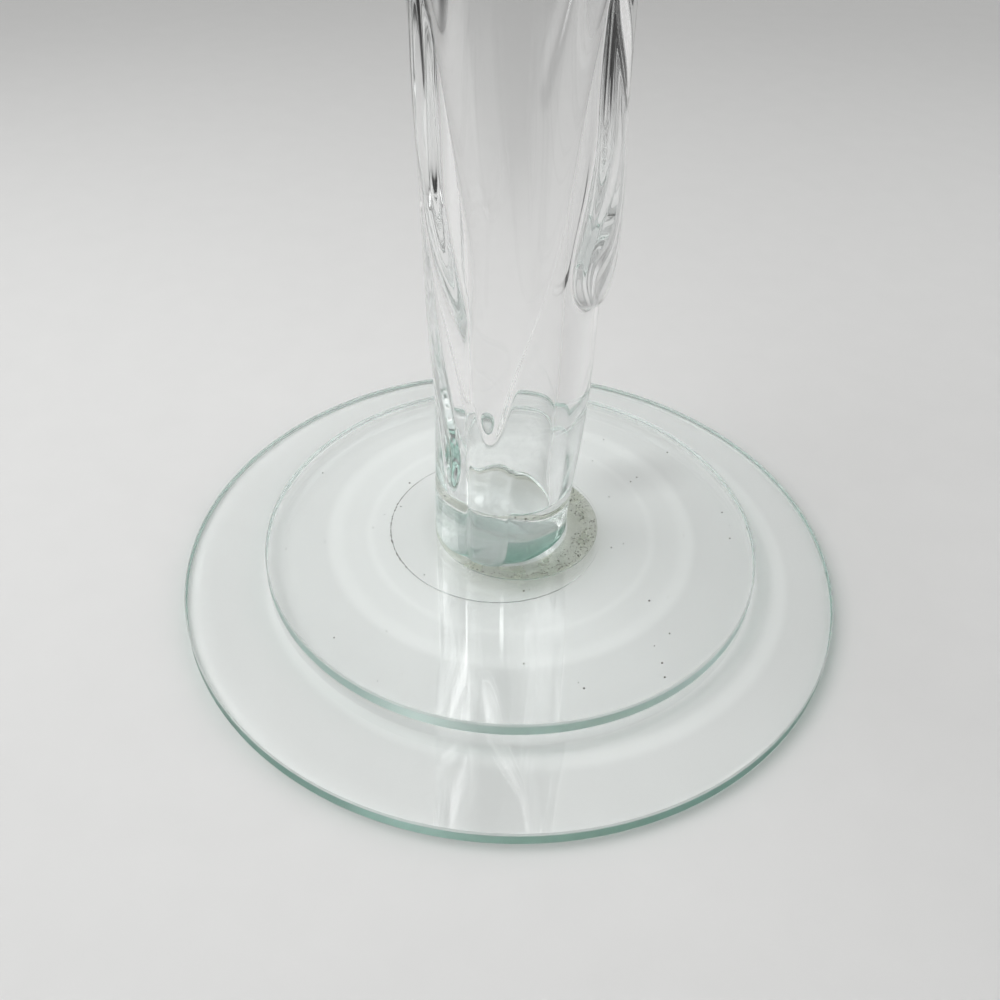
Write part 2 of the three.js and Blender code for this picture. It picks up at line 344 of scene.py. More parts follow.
def studio_world():
    """Even grey light for the table, a pale backdrop for straight views, and a structured room for glass."""
    world = bpy.data.worlds.new("studio")
    world.use_nodes = True
    tree = world.node_tree
    background = tree.nodes["Background"]
    rays = tree.nodes.new("ShaderNodeLightPath").outputs
    seen = math_of(tree, "MAXIMUM", rays["Is Camera Ray"], rays["Is Glossy Ray"])
    seen = math_of(tree, "MAXIMUM", seen, rays["Is Transmission Ray"])
    seen = math_of(tree, "MULTIPLY", seen, math_of(tree, "LESS_THAN", rays["Diffuse Depth"], 0.5))
    coordinates = tree.nodes.new("ShaderNodeTexCoord")
    split = tree.nodes.new("ShaderNodeSeparateXYZ")
    tree.links.new(coordinates.outputs["Generated"], split.inputs[0])
    sides = smooth_step(tree, split.outputs["Y"], *FRONT_TO_SIDE)
    upper = math_of(tree, "MULTIPLY_ADD", sides, SIDE_GREY - FRONT_GREY, FRONT_GREY)
    behind = smooth_step(tree, split.outputs["Y"], *PATCH_DEPTH)
    behind = math_of(tree, "MULTIPLY", behind, smooth_step(tree, split.outputs["Z"], *PATCH_HEIGHT))
    middle = smooth_step(tree, math_of(tree, "ABSOLUTE", split.outputs["X"]), *PATCH_WIDTH)
    behind = math_of(tree, "MULTIPLY", behind, middle)
    mirrored = math_of(tree, "SUBTRACT", 1.0, rays["Is Transmission Ray"])
    back = math_of(tree, "MULTIPLY_ADD", mirrored, MIRROR_GREY - BACK_GREY, BACK_GREY - SIDE_GREY)
    upper = math_of(tree, "MULTIPLY_ADD", behind, back, upper)
    climb = smooth_step(tree, split.outputs["Z"], *ABOVE_HORIZON)
    change = math_of(tree, "MULTIPLY", climb, math_of(tree, "SUBTRACT", upper, HORIZON_GREY))
    strength = tree.nodes.new("ShaderNodeMix")
    tree.links.new(seen, strength.inputs["Factor"])
    strength.inputs["A"].default_value = WORLD_LIGHT
    backdrop = tree.nodes.new("ShaderNodeMix")
    tree.links.new(straight_view(tree), backdrop.inputs["Factor"])
    tree.links.new(math_of(tree, "ADD", change, HORIZON_GREY), backdrop.inputs["A"])
    backdrop.inputs["B"].default_value = BACKDROP_GREY
    tree.links.new(backdrop.outputs["Result"], strength.inputs["B"])
    tree.links.new(strength.outputs["Result"], background.inputs["Strength"])
    background.inputs["Color"].default_value = WORLD_TINT
    return world


scene.world = studio_world()
print("light of the world:", WORLD_LIGHT)

# %% Lamps
LAMP_AIM = (0, 0, 0.06)
BOUNCES = 160
KEY_PLACE = (-0.35, 0, 0.6)
KEY_SIZE = 0.6
KEY_WATTS = 2.95
FILL_PLACE = (0.55, 0.1, 0.5)
FILL_SIZE = 0.8
FILL_WATTS = 1.5


def soft_lamp(name, place_at, size, watts):
    """A rectangular lamp that faces the foot of the column."""
    lamp = bpy.data.lights.new(name, "AREA")
    lamp.shape = "RECTANGLE"
    lamp.size, lamp.size_y = size
    lamp.energy = watts
    body = bpy.data.objects.new(name, lamp)
    aim = Vector(LAMP_AIM) - Vector(place_at)
    body.rotation_euler = aim.to_track_quat("-Z", "Y").to_euler()
    body.location = place_at
    body.visible_camera = False
    scene.collection.objects.link(body)


soft_lamp("key_lamp", KEY_PLACE, (KEY_SIZE, KEY_SIZE), KEY_WATTS)
soft_lamp("fill_lamp", FILL_PLACE, (FILL_SIZE, FILL_SIZE), FILL_WATTS)
scene.view_settings.view_transform = "Standard"
scene.cycles.max_bounces = BOUNCES
scene.cycles.transmission_bounces = BOUNCES
scene.cycles.glossy_bounces = BOUNCES
scene.cycles.blur_glossy = 0

# %% [markdown]
# ## Glass
# Clear glass is a Principled shader with full transmission. Flat glass is the same, but it takes red and a
# little blue out of light on the way, so a disc is clear from above and green at the edge, where light has
# come a long way. A Volume Absorption node does this from real distances. The discs' edges are ground, so
# they are rough and a little grey: a node group makes that mask from the distance to an axis. The dusty
# adhesive uses the same group, and a second group gives all the glass faint smears from handling.

# %% Shader groups
GRAIN_SCALE = 900
GRAIN_DETAIL = 3
SMEAR_DETAIL = 5
SMEAR_TEXTURE = 0.6
SMEAR_BEND = 0.6
SMEAR_RANGE = (0.45, 0.75)


def outside_circle_group():
    """1 outside an upright circle and 0 inside it, and a fine grain there, as on ground or dusty glass."""
    labels = ("Centre X", "Centre Y", "Radius")
    tree, given, result = new_group("Outside a circle", "ShaderNodeTree", labels, ("Outside", "Grain"))
    coordinates = tree.nodes.new("ShaderNodeTexCoord")
    split = tree.nodes.new("ShaderNodeSeparateXYZ")
    tree.links.new(coordinates.outputs["Object"], split.inputs[0])
    across = math_of(tree, "POWER", math_of(tree, "SUBTRACT", split.outputs["X"], given["Centre X"]), 2.0)
    along = math_of(tree, "POWER", math_of(tree, "SUBTRACT", split.outputs["Y"], given["Centre Y"]), 2.0)
    distance = math_of(tree, "SQRT", math_of(tree, "ADD", across, along))
    outside = math_of(tree, "GREATER_THAN", distance, given["Radius"])
    noise = tree.nodes.new("ShaderNodeTexNoise")
    noise.inputs["Scale"].default_value = GRAIN_SCALE
    noise.inputs["Detail"].default_value = GRAIN_DETAIL
    tree.links.new(coordinates.outputs["Object"], noise.inputs["Vector"])
    tree.links.new(outside, result["Outside"])
    tree.links.new(math_of(tree, "MULTIPLY", noise.outputs["Fac"], outside), result["Grain"])
    return tree


def handled_glass_group():
    """Faint smears that handling leaves on glass: a value that drifts between 0 and 1 over the surface."""
    tree, given, result = new_group("Handled glass", "ShaderNodeTree", ("Scale",), ("Smear",))
    coordinates = tree.nodes.new("ShaderNodeTexCoord")
    noise = tree.nodes.new("ShaderNodeTexNoise")
    noise.inputs["Detail"].default_value = SMEAR_DETAIL
    noise.inputs["Roughness"].default_value = SMEAR_TEXTURE
    noise.inputs["Distortion"].default_value = SMEAR_BEND
    tree.links.new(coordinates.outputs["Object"], noise.inputs["Vector"])
    tree.links.new(given["Scale"], noise.inputs["Scale"])
    tree.links.new(smooth_step(tree, noise.outputs["Fac"], *SMEAR_RANGE), result["Smear"])
    return tree


OUTSIDE_CIRCLE = outside_circle_group()
HANDLED_GLASS = handled_glass_group()
print("shader groups:", OUTSIDE_CIRCLE.name, HANDLED_GLASS.name)

# %% Glass materials
WHITE = (1, 1, 1, 1)
GLASS_IOR = 1.5
FLOAT_ABSORPTION = (0.30, 0.72, 0.62, 1)
RIM_ROUGHNESS = 0.4
RIM_GRAIN = 0.06
SMEAR_ROUGHNESS = 0.03
DISC_SMEAR_SCALE = 18.0
COLUMN_SMEAR_SCALE = 26.0
COLUMN_ABSORPTION = (0.82, 0.9, 0.87, 1)
COLUMN_DENSITY = 0.7


def glass_material(name):
    """A clear glass shader, its tree and its Principled node."""
    material = bpy.data.materials.new(name)
    material.use_nodes = True
    tree = material.node_tree
    shader = tree.nodes["Principled BSDF"]
    shader.inputs["Base Color"].default_value = WHITE
    shader.inputs["Transmission Weight"].default_value = 1
    shader.inputs["IOR"].default_value = GLASS_IOR
    return material, tree, shader


def smear_of(tree, scale):
    """The handled-glass value in a material's tree."""
    node = tree.nodes.new("ShaderNodeGroup")
    node.node_tree = HANDLED_GLASS
    node.inputs["Scale"].default_value = scale
    return node.outputs["Smear"]


def absorb(tree, colour, density):
    """Colour that light picks up over distance inside the glass."""
    volume = tree.nodes.new("ShaderNodeVolumeAbsorption")
    volume.inputs["Color"].default_value = colour
    volume.inputs["Density"].default_value = density
    tree.links.new(volume.outputs[0], tree.nodes["Material Output"].inputs["Volume"])


def outside_of(tree, centre, radius):
    """The outside-a-circle group in a material's tree."""
    node = tree.nodes.new("ShaderNodeGroup")
    node.node_tree = OUTSIDE_CIRCLE
    node.inputs["Centre X"].default_value = centre.x
    node.inputs["Centre Y"].default_value = centre.y
    node.inputs["Radius"].default_value = radius
    return node.outputs


def float_glass(name, centre, polished_radius, density, rim_grey):
    """Flat glass with polished faces and a ground rim that lets less light through."""
    material, tree, shader = glass_material(name)
    rim = outside_of(tree, centre, polished_radius)
    faces = math_of(tree, "MULTIPLY", smear_of(tree, DISC_SMEAR_SCALE), SMEAR_ROUGHNESS)
    grain = math_of(tree, "MULTIPLY_ADD", rim["Grain"], RIM_GRAIN, -RIM_GRAIN / 2)
    ground = math_of(tree, "MULTIPLY", rim["Outside"], math_of(tree, "ADD", RIM_ROUGHNESS, grain))
    tree.links.new(math_of(tree, "MAXIMUM", faces, ground), shader.inputs["Roughness"])
    tint = tree.nodes.new("ShaderNodeMix")
    tint.data_type = "RGBA"
    tree.links.new(rim["Outside"], tint.inputs["Factor"])
    tint.inputs["A"].default_value = WHITE
    tint.inputs["B"].default_value = (rim_grey, rim_grey, rim_grey, 1)
    tree.links.new(tint.outputs["Result"], shader.inputs["Base Color"])
    absorb(tree, FLOAT_ABSORPTION, density)
    return material


def column_glass():
    """Fire-polished clear glass with the faintest trace of green."""
    material, tree, shader = glass_material("clear_column_glass")
    smear = math_of(tree, "MULTIPLY", smear_of(tree, COLUMN_SMEAR_SCALE), SMEAR_ROUGHNESS / 2)
    tree.links.new(smear, shader.inputs["Roughness"])
    absorb(tree, COLUMN_ABSORPTION, COLUMN_DENSITY)
    return material


print("index of refraction of the glass:", GLASS_IOR)

# %% [markdown]
# ## Base discs
# Each disc is a circle cut from flat glass, with its two sharp rims ground off. It could be a cylinder with
# a Bevel modifier, but a turned profile gives the same shape with fewer steps and keeps the flat faces truly
# flat. Sizes and heights come from the frame, so the discs stand exactly where the CAD pieces stand. Light
# that bends at the edge shows every flat facet, so the circle has many steps.

# %% Base discs
DISC_SEGMENTS = 1024
RIM_SEAM = 0.5 * MM
RIM_MASK_INSET = 1.1 * RIM_SEAM
SHARP_ANGLE = math.radians(20)
LOWER_DENSITY = 7.0
LOWER_RIM_GREY = 0.76
UPPER_DENSITY = 2.3
UPPER_RIM_GREY = 0.97


def disc_profile(radius, low, high, seam):
    """Flat faces, two ground chamfers and an upright edge."""
    return [
        (0, low), (radius - seam, low), (radius, low + seam),
        (radius, high - seam), (radius - seam, high), (0, high),
    ]


def base_disc(name, node, density, rim_grey):
    """The float-glass disc that stands for a CAD disc."""
    low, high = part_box(node)
    centre = (low + high) / 2
    radius = (high.x - low.x) / 2
    mesh = turned_mesh(name, disc_profile(radius, low.z, high.z, RIM_SEAM), DISC_SEGMENTS)
    mesh.transform(Matrix.Translation((centre.x, centre.y, 0)))
    mesh.set_sharp_from_angle(angle=SHARP_ANGLE)
    finish = float_glass(name + "_finish", centre, radius - RIM_MASK_INSET, density, rim_grey)
    piece = place(name, mesh, finish)
    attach(piece, "root")
    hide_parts(node)
    print(name, "diameter in mm:", round(2 * radius / MM, 1))
    print(name, "thickness in mm:", round((high.z - low.z) / MM, 2))


base_disc("lower_disc_glass", "lower_base_disc", LOWER_DENSITY, LOWER_RIM_GREY)
base_disc("upper_disc_glass", "upper_base_disc", UPPER_DENSITY, UPPER_RIM_GREY)

# %% [markdown]
# ## Adhesive films
# Where glue wets two plates, light passes straight through; beside it a thin layer of air mirrors light. A
# film that ended exactly at the plates would leave faces in the same place, and one that ended short of them
# would leave air. So each film reaches a hair into both plates: light then enters the next piece before it
# leaves the last one, and the joint turns invisible, as in the real thing. The film under the foot is thick
# and old: it tints what is seen through it, and it has gone yellow and dusty where the foot leaves it bare.

# %% Adhesive films
FILM_SEGMENTS = 192
WETTING = 0.03 * MM
FOOT_COVER = 22.5 * MM
DUSTY_ROUGHNESS = 0.35
DUSTY_TINT = (0.72, 0.73, 0.62, 1)
CLEAR_SMEAR_SCALE = 60.0
CLEAR_ABSORPTION = (0.9, 0.9, 0.85, 1)
CLEAR_DENSITY = 20.0
BLOTCH_SCALE = 140.0
BLOTCH_SHARE = 0.5
AGED_ABSORPTION = (0.5, 0.8, 0.72, 1)
AGED_DENSITY = 70.0


def clear_adhesive():
    """Clear cured adhesive, a little uneven."""
    material, tree, shader = glass_material("clear_adhesive_film")
    smear = math_of(tree, "MULTIPLY", smear_of(tree, CLEAR_SMEAR_SCALE), SMEAR_ROUGHNESS)
    tree.links.new(smear, shader.inputs["Roughness"])
    absorb(tree, CLEAR_ABSORPTION, CLEAR_DENSITY)
    return material


def aged_adhesive(foot_centre):
    """The same adhesive in the open air: yellowed and dusty where the foot doesn't cover it."""
    material, tree, shader = glass_material("aged_adhesive_film")
    bare = outside_of(tree, foot_centre, FOOT_COVER)
    blotch = math_of(tree, "MULTIPLY_ADD", smear_of(tree, BLOTCH_SCALE), BLOTCH_SHARE, 1 - BLOTCH_SHARE)
    dusty = math_of(tree, "MULTIPLY", bare["Outside"], blotch)
    tree.links.new(math_of(tree, "MULTIPLY", dusty, DUSTY_ROUGHNESS), shader.inputs["Roughness"])
    mix = tree.nodes.new("ShaderNodeMix")
    mix.data_type = "RGBA"
    tree.links.new(dusty, mix.inputs["Factor"])
    mix.inputs["A"].default_value = WHITE
    mix.inputs["B"].default_value = DUSTY_TINT
    tree.links.new(mix.outputs["Result"], shader.inputs["Base Color"])
    absorb(tree, AGED_ABSORPTION, AGED_DENSITY)
    return material


def bond_film(name, node, material):
    """A round film that wets the pieces above and below it."""
    low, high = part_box(node)
    radius = (high.x - low.x) / 2
    bottom, top = low.z - WETTING, high.z + WETTING
    profile = [(0, bottom), (radius, bottom), (radius, top), (0, top)]
    mesh = turned_mesh(name, profile, FILM_SEGMENTS)
    mesh.transform(Matrix.Translation(((low.x + high.x) / 2, (low.y + high.y) / 2, 0)))
    mesh.set_sharp_from_angle(angle=SHARP_ANGLE)
    piece = place(name, mesh, material)
    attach(piece, "root")
    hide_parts(node)
    print(name, "radius in mm:", round(radius / MM, 1))


COLUMN_X = -2.8
COLUMN_Y = 9.7
foot_centre = Vector((COLUMN_X, COLUMN_Y, 0)) * MM
bond_film("plate_bond", "plate_bond_film", clear_adhesive())
bond_film("foot_bond", "column_bond_pad", aged_adhesive(foot_centre))

# %% [markdown]
# ## Column
# The column begins as a turned blank: a round foot, a wall that swells to a waist and flares to the mouth, a
# rounded lip and a flat-floored well for the stems, above a thick solid foot. Runs of glass then flow down
# over it. Each run follows one rule, with a tip, a sideways drift, a width and a thickness, so Geometry Nodes
# adds them all: one group works out how thick a run is at a place, and the tree holds one copy of the group
# for each run. Four seams part the foot into lobes, and a dent lies at its right. Last, the relief is blurred
# as if it had melted, the runs' tips sag, and the whole column bows and leans. Sizes are in millimetres.

# %% Column sizes
column_low, column_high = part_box("vase_column")
RUN_FIELDS = ("tip", "angle", "drift", "from", "over", "width", "taper", "flare", "relief", "bead")
RUNS = (
    (96, 58, 30, 96, 50, 30, 13, 0, 4.0, 3.4),
    (66, -29, -32, 68, 66, 11, 10, 0, 3.0, 0.8),
    (29, -47, -34, 35, 72, 10, 8, 0, 1.8, 0.6),
    (53, -14, 15, 68, 57, 25, 60, 0.0021, 5.4, 0),
    (133, -64, -10, 140, 62, 11, 8, 0.001, 2.7, 0.8),
    (142, 158, -34, 142, 44, 6, 8, 0, 1.5, 0),
    (190, -140, 14, 200, 80, 26, 24, 0.0006, 2.4, 0.8),
    (200, 34, -14, 210, 80, 20, 24, 0.0006, 3.4, 1.0),
    (236, -88, 12, 244, 70, 24, 20, 0.0006, 3.4, 1.0),
    (218, 140, 10, 226, 80, 22, 22, 0.0006, 3.6, 1.0),
)
RUN_EDGE = 0.45
RUN_BLEND = 4
SEAM_ANGLES = (-98, -31, 4, 92)
SEAM_DEPTH = 1.6
LOBE_POWER = 4.0
SEAM_TOP = 56
SEAM_FADE = 30
DENT_ANGLE = 45
DENT_HALF_WIDTH = 60
DENT_DEPTH = 3.8
DENT_TOP = 40
COLUMN_LEAN = 1.6
BOW = 1.7
BOW_STARTS = (0, 70)
BOW_ENDS = (90, 170)
FOOT_RADIUS = 23.8
WAIST_RADIUS = 25
WAIST_HEIGHT = 103
MOUTH_RADIUS = 28.7
FLARE_LENGTH = 110
FOOT_ROUNDING = 1
BORE_FLOOR = 18.5
BORE_CORNER = 0.8
BORE_FLOOR_RADIUS = 14.2
BORE_SHOULDER = 154
BORE_RADIUS = 14.6
LIP_WALL = 5
RIM_WAVE = 1.2
RIM_WAVE_COUNT = 3
COLUMN_HEIGHT = round((column_high.z - column_low.z) / MM, 2)
print("column height in mm:", COLUMN_HEIGHT)

# %% Turned blank
BLANK_SEGMENTS = 420
FINE_STEP = 1.3
COARSE_STEP = 5
WALL_STEP = 12
FOOT_STEPS = 5
LIP_STEPS = 10
CORNER_STEPS = 8
FINE_HEIGHT = 195


def smooth_share(value, low, high):
    """The smooth step of the node trees, for plain numbers."""
    share = min(1, max(0, (value - low) / (high - low)))
    return share * share * (3 - 2 * share)


def core_radius(height):
    """Radius of the blank's wall at a height above the foot."""
    swell = FOOT_RADIUS + (WAIST_RADIUS - FOOT_RADIUS) * smooth_share(height, 0, WAIST_HEIGHT)
    flare = max(0, 1 - (COLUMN_HEIGHT - height) / FLARE_LENGTH)
    return swell + (MOUTH_RADIUS - WAIST_RADIUS) * flare * flare


def bore_radius(height):
    """Radius of the well above its rounded corner: a slow taper and a spread to the mouth."""
    taper = min(1, (height - BORE_FLOOR) / (BORE_SHOULDER - BORE_FLOOR))
    spread = smooth_share(height, BORE_SHOULDER, COLUMN_HEIGHT)
    radius = BORE_FLOOR_RADIUS + (BORE_RADIUS - BORE_FLOOR_RADIUS) * taper
    return radius + (MOUTH_RADIUS - LIP_WALL - BORE_RADIUS) * spread


def steps_between(low, high, step):
    """Evenly spaced values from low to high, about one step apart."""
    count = max(1, round(abs(high - low) / step))
    return [low + (high - low) * index / count for index in range(count + 1)]


def blank_profile():
    """(radius, height, share of the relief) round the blank, from the foot's middle to the well's floor."""
    profile = [(0, 0, 0)]
    for index in range(FOOT_STEPS):
        turn = index / FOOT_STEPS * math.pi / 2
        inset = FOOT_ROUNDING * (1 - math.sin(turn))
        profile.append((FOOT_RADIUS - inset, FOOT_ROUNDING * (1 - math.cos(turn)), 1))
    shoulder = COLUMN_HEIGHT - LIP_WALL / 2
    heights = steps_between(FOOT_ROUNDING, FINE_HEIGHT, FINE_STEP)
    heights += steps_between(FINE_HEIGHT, shoulder, COARSE_STEP)[1:]
    profile += [(core_radius(height), height, 1) for height in heights]
    outer = core_radius(shoulder)
    reach = (outer - bore_radius(shoulder)) / 2
    for index in range(1, LIP_STEPS):
        turn = index / LIP_STEPS * math.pi
        share = (1 + math.cos(turn)) / 2
        height = shoulder + LIP_WALL / 2 * math.sin(turn)
        profile.append((outer - reach * (1 - math.cos(turn)), height, share))
    corner_top = BORE_FLOOR + BORE_CORNER
    wall = steps_between(shoulder, BORE_SHOULDER, WALL_STEP)
    wall += steps_between(BORE_SHOULDER, corner_top, WALL_STEP)[1:]
    profile += [(bore_radius(height), height, 0) for height in wall]
    for index in range(1, CORNER_STEPS + 1):
        turn = index / CORNER_STEPS * math.pi / 2
        inset = BORE_CORNER * (1 - math.cos(turn))
        profile.append((bore_radius(corner_top) - inset, corner_top - BORE_CORNER * math.sin(turn), 0))
    return profile + [(0, BORE_FLOOR, 0)]


profile = blank_profile()
blank_mesh = turned_mesh("column_blank", [(r * MM, h * MM) for r, h, _ in profile], BLANK_SEGMENTS)
shares = [0.0, 0.0] + [share for _, _, share in profile[1:-1] for _ in range(BLANK_SEGMENTS)]
blank_mesh.attributes.new("relief_share", "FLOAT", "POINT").data.foreach_set("value", shares)
blank = bpy.data.objects.new("column_blank", blank_mesh)
scene.collection.objects.link(blank)
print("blank:", len(blank_mesh.vertices), "points")

# %% Node groups for a run and a lobe
JUST_ABOVE = 0.0001


def run_group():
    """Thickness in mm that one run of glass adds at an angle in degrees and a height in mm."""
    labels = ("Angle", "Height") + tuple("Run " + field for field in RUN_FIELDS)
    tree, given, result = new_group("Run of glass", "GeometryNodeTree", labels, ("Thickness",))
    run = {field: given["Run " + field] for field in RUN_FIELDS}
    above = math_of(tree, "MAXIMUM", math_of(tree, "SUBTRACT", given["Height"], run["tip"]), JUST_ABOVE)
    end = math_of(tree, "ADD", run["from"], run["over"])
    drifted = math_of(tree, "MULTIPLY", run["drift"], smooth_step(tree, given["Height"], run["from"], end))
    away = math_of(tree, "SUBTRACT", given["Angle"], math_of(tree, "ADD", run["angle"], drifted))
    away = math_of(tree, "WRAP", away, 180.0, -180.0)
    taper = math_of(tree, "MULTIPLY", run["taper"], -1.0)
    fall = math_of(tree, "EXPONENT", math_of(tree, "DIVIDE", above, taper))
    spread = math_of(tree, "MULTIPLY", run["flare"], math_of(tree, "POWER", above, 2.0))
    across = math_of(tree, "DIVIDE", away, math_of(tree, "ADD", run["width"], spread))
    inside = math_of(tree, "SUBTRACT", 1.0, fall)
    inside = math_of(tree, "SUBTRACT", inside, math_of(tree, "MULTIPLY", across, across))
    inside = math_of(tree, "POWER", math_of(tree, "MAXIMUM", inside, 0.0), RUN_EDGE)
    bead = math_of(tree, "MULTIPLY", run["bead"], math_of(tree, "SQRT", fall))
    thickness = math_of(tree, "ADD", run["relief"], bead)
    tree.links.new(math_of(tree, "MULTIPLY", thickness, inside), result["Thickness"])
    return tree


def lobe_group():
    """How far a place lies towards the seams of one lobe: 0 in its middle, 1 in a seam, 0 on other lobes."""
    labels = ("Angle", "Lobe middle", "Lobe half width")
    tree, given, result = new_group("Lobe of the foot", "GeometryNodeTree", labels, ("Fall",))
    away = math_of(tree, "SUBTRACT", given["Angle"], given["Lobe middle"])
    away = math_of(tree, "WRAP", away, 180.0, -180.0)
    across = math_of(tree, "DIVIDE", away, given["Lobe half width"])
    fall = math_of(tree, "POWER", math_of(tree, "ABSOLUTE", across), LOBE_POWER)
    tree.links.new(math_of(tree, "MULTIPLY", fall, math_of(tree, "LESS_THAN", fall, 1.0)), result["Fall"])
    return tree


RUN_GROUP = run_group()
LOBE_GROUP = lobe_group()
print("geometry groups:", RUN_GROUP.name, LOBE_GROUP.name)

# %% Parts of the column's tree
RIPPLE = 0.05
RIPPLE_SCALE = 45.0
RIPPLE_STRETCH = 0.22
RIPPLE_DETAIL = 1.0
MELT_STEPS = 5
SAG = 0.7
SAG_HEIGHTS = (4.0, 20.0)


def placed_group(tree, group, values):
    """A run or a lobe in the column's tree, with its own sizes."""
    node = tree.nodes.new("GeometryNodeGroup")
    node.node_tree = group
    for label, value in values.items():
        connect(tree, value, node.inputs[label])
    return node.outputs[0]


def run_values(angle, height, run):
    """The inputs of one run."""
    values = {"Angle": angle, "Height": height}
    values.update({"Run " + field: value for field, value in zip(RUN_FIELDS, run)})
    return values


def lobe_values(angle, index):
    """The inputs of the lobe between one seam and the next."""
    start = SEAM_ANGLES[index]
    end = SEAM_ANGLES[(index + 1) % len(SEAM_ANGLES)]
    half = ((end - start) % 360) / 2
    return {"Angle": angle, "Lobe middle": start + half, "Lobe half width": half}


def summed(tree, sockets):
    """The sum of several sockets."""
    total = sockets[0]
    for socket in sockets[1:]:
        total = math_of(tree, "ADD", total, socket)
    return total


def dent_share(tree, angle, height):
    """1 in the middle of the dent at the foot's edge, and 0 outside it."""
    aside = math_of(tree, "SUBTRACT", angle, float(DENT_ANGLE))
    aside = math_of(tree, "ABSOLUTE", math_of(tree, "WRAP", aside, 180.0, -180.0))
    aside = math_of(tree, "MINIMUM", math_of(tree, "DIVIDE", aside, float(DENT_HALF_WIDTH)), 1.0)
    wave = math_of(tree, "COSINE", math_of(tree, "MULTIPLY", aside, math.pi / 2))
    window = math_of(tree, "POWER", wave, 2.0)
    return math_of(tree, "MULTIPLY", window, smooth_step(tree, height, float(DENT_TOP), 0.0))


def column_relief(tree, given, position, turn, height):
    """How far the wall moves out, in metres: the runs less the seams and the dent, and a faint ripple."""
    angle = math_of(tree, "DEGREES", turn)
    runs = [placed_group(tree, RUN_GROUP, run_values(angle, height, run)) for run in RUNS]
    powers = [math_of(tree, "POWER", run, float(RUN_BLEND)) for run in runs]
    flowed = math_of(tree, "POWER", summed(tree, powers), 1 / RUN_BLEND)
    falls = [placed_group(tree, LOBE_GROUP, lobe_values(angle, index)) for index in range(len(SEAM_ANGLES))]
    fade = smooth_step(tree, height, float(SEAM_TOP), float(SEAM_TOP - SEAM_FADE))
    seams = math_of(tree, "MULTIPLY", math_of(tree, "MULTIPLY", summed(tree, falls), fade), SEAM_DEPTH)
    seams = math_of(tree, "MULTIPLY_ADD", dent_share(tree, angle, height), DENT_DEPTH, seams)
    melted = tree.nodes.new("GeometryNodeBlurAttribute")
    tree.links.new(math_of(tree, "SUBTRACT", flowed, seams), melted.inputs["Value"])
    melted.inputs["Iterations"].default_value = MELT_STEPS
    relief = melted.outputs["Value"]
    stretch = tree.nodes.new("ShaderNodeVectorMath")
    stretch.operation = "MULTIPLY"
    tree.links.new(position, stretch.inputs[0])
    stretch.inputs[1].default_value = (1, 1, RIPPLE_STRETCH)
    noise = tree.nodes.new("ShaderNodeTexNoise")
    tree.links.new(stretch.outputs[0], noise.inputs["Vector"])
    noise.inputs["Scale"].default_value = RIPPLE_SCALE
    noise.inputs["Detail"].default_value = RIPPLE_DETAIL
    ripple = math_of(tree, "MULTIPLY", math_of(tree, "SUBTRACT", noise.outputs["Fac"], 0.5), given["Ripple"])
    relief = math_of(tree, "MULTIPLY_ADD", relief, given["Relief"], ripple)
    share = tree.nodes.new("GeometryNodeInputNamedAttribute")
    share.data_type = "FLOAT"
    share.inputs["Name"].default_value = "relief_share"
    return math_of(tree, "MULTIPLY", math_of(tree, "MULTIPLY", relief, share.outputs["Attribute"]), MM)


def column_lean(tree, given, height):
    """How far the column's middle lies to the left at a height, in mm: the lean less the bow."""
    lean = math_of(tree, "MULTIPLY", math_of(tree, "DIVIDE", height, COLUMN_HEIGHT), given["Lean"])
    rising = smooth_step(tree, height, *(float(value) for value in BOW_STARTS))
    easing = smooth_step(tree, height, *(float(value) for value in BOW_ENDS))
    bow = math_of(tree, "MULTIPLY", math_of(tree, "SUBTRACT", rising, easing), given["Bow"])
    return math_of(tree, "SUBTRACT", lean, bow)


def column_drop(tree, given, turn, height, relief):
    """Change of height of a place, in metres: down with the wave of the rim and the sag of the runs."""
    wave = math_of(tree, "SINE", math_of(tree, "MULTIPLY", turn, float(RIM_WAVE_COUNT)))
    wave = math_of(tree, "MULTIPLY", math_of(tree, "SUBTRACT", wave, 1.0), given["Rim wave"])
    wave = math_of(tree, "MULTIPLY", wave, smooth_step(tree, height, COLUMN_HEIGHT / 2, float(COLUMN_HEIGHT)))
    sagged = math_of(tree, "MULTIPLY", math_of(tree, "MAXIMUM", relief, 0.0), -SAG)
    sagged = math_of(tree, "MULTIPLY", sagged, smooth_step(tree, height, *SAG_HEIGHTS))
    return math_of(tree, "MULTIPLY_ADD", wave, MM, sagged)


print("runs of glass:", len(RUNS), "and seams in the foot:", len(SEAM_ANGLES))

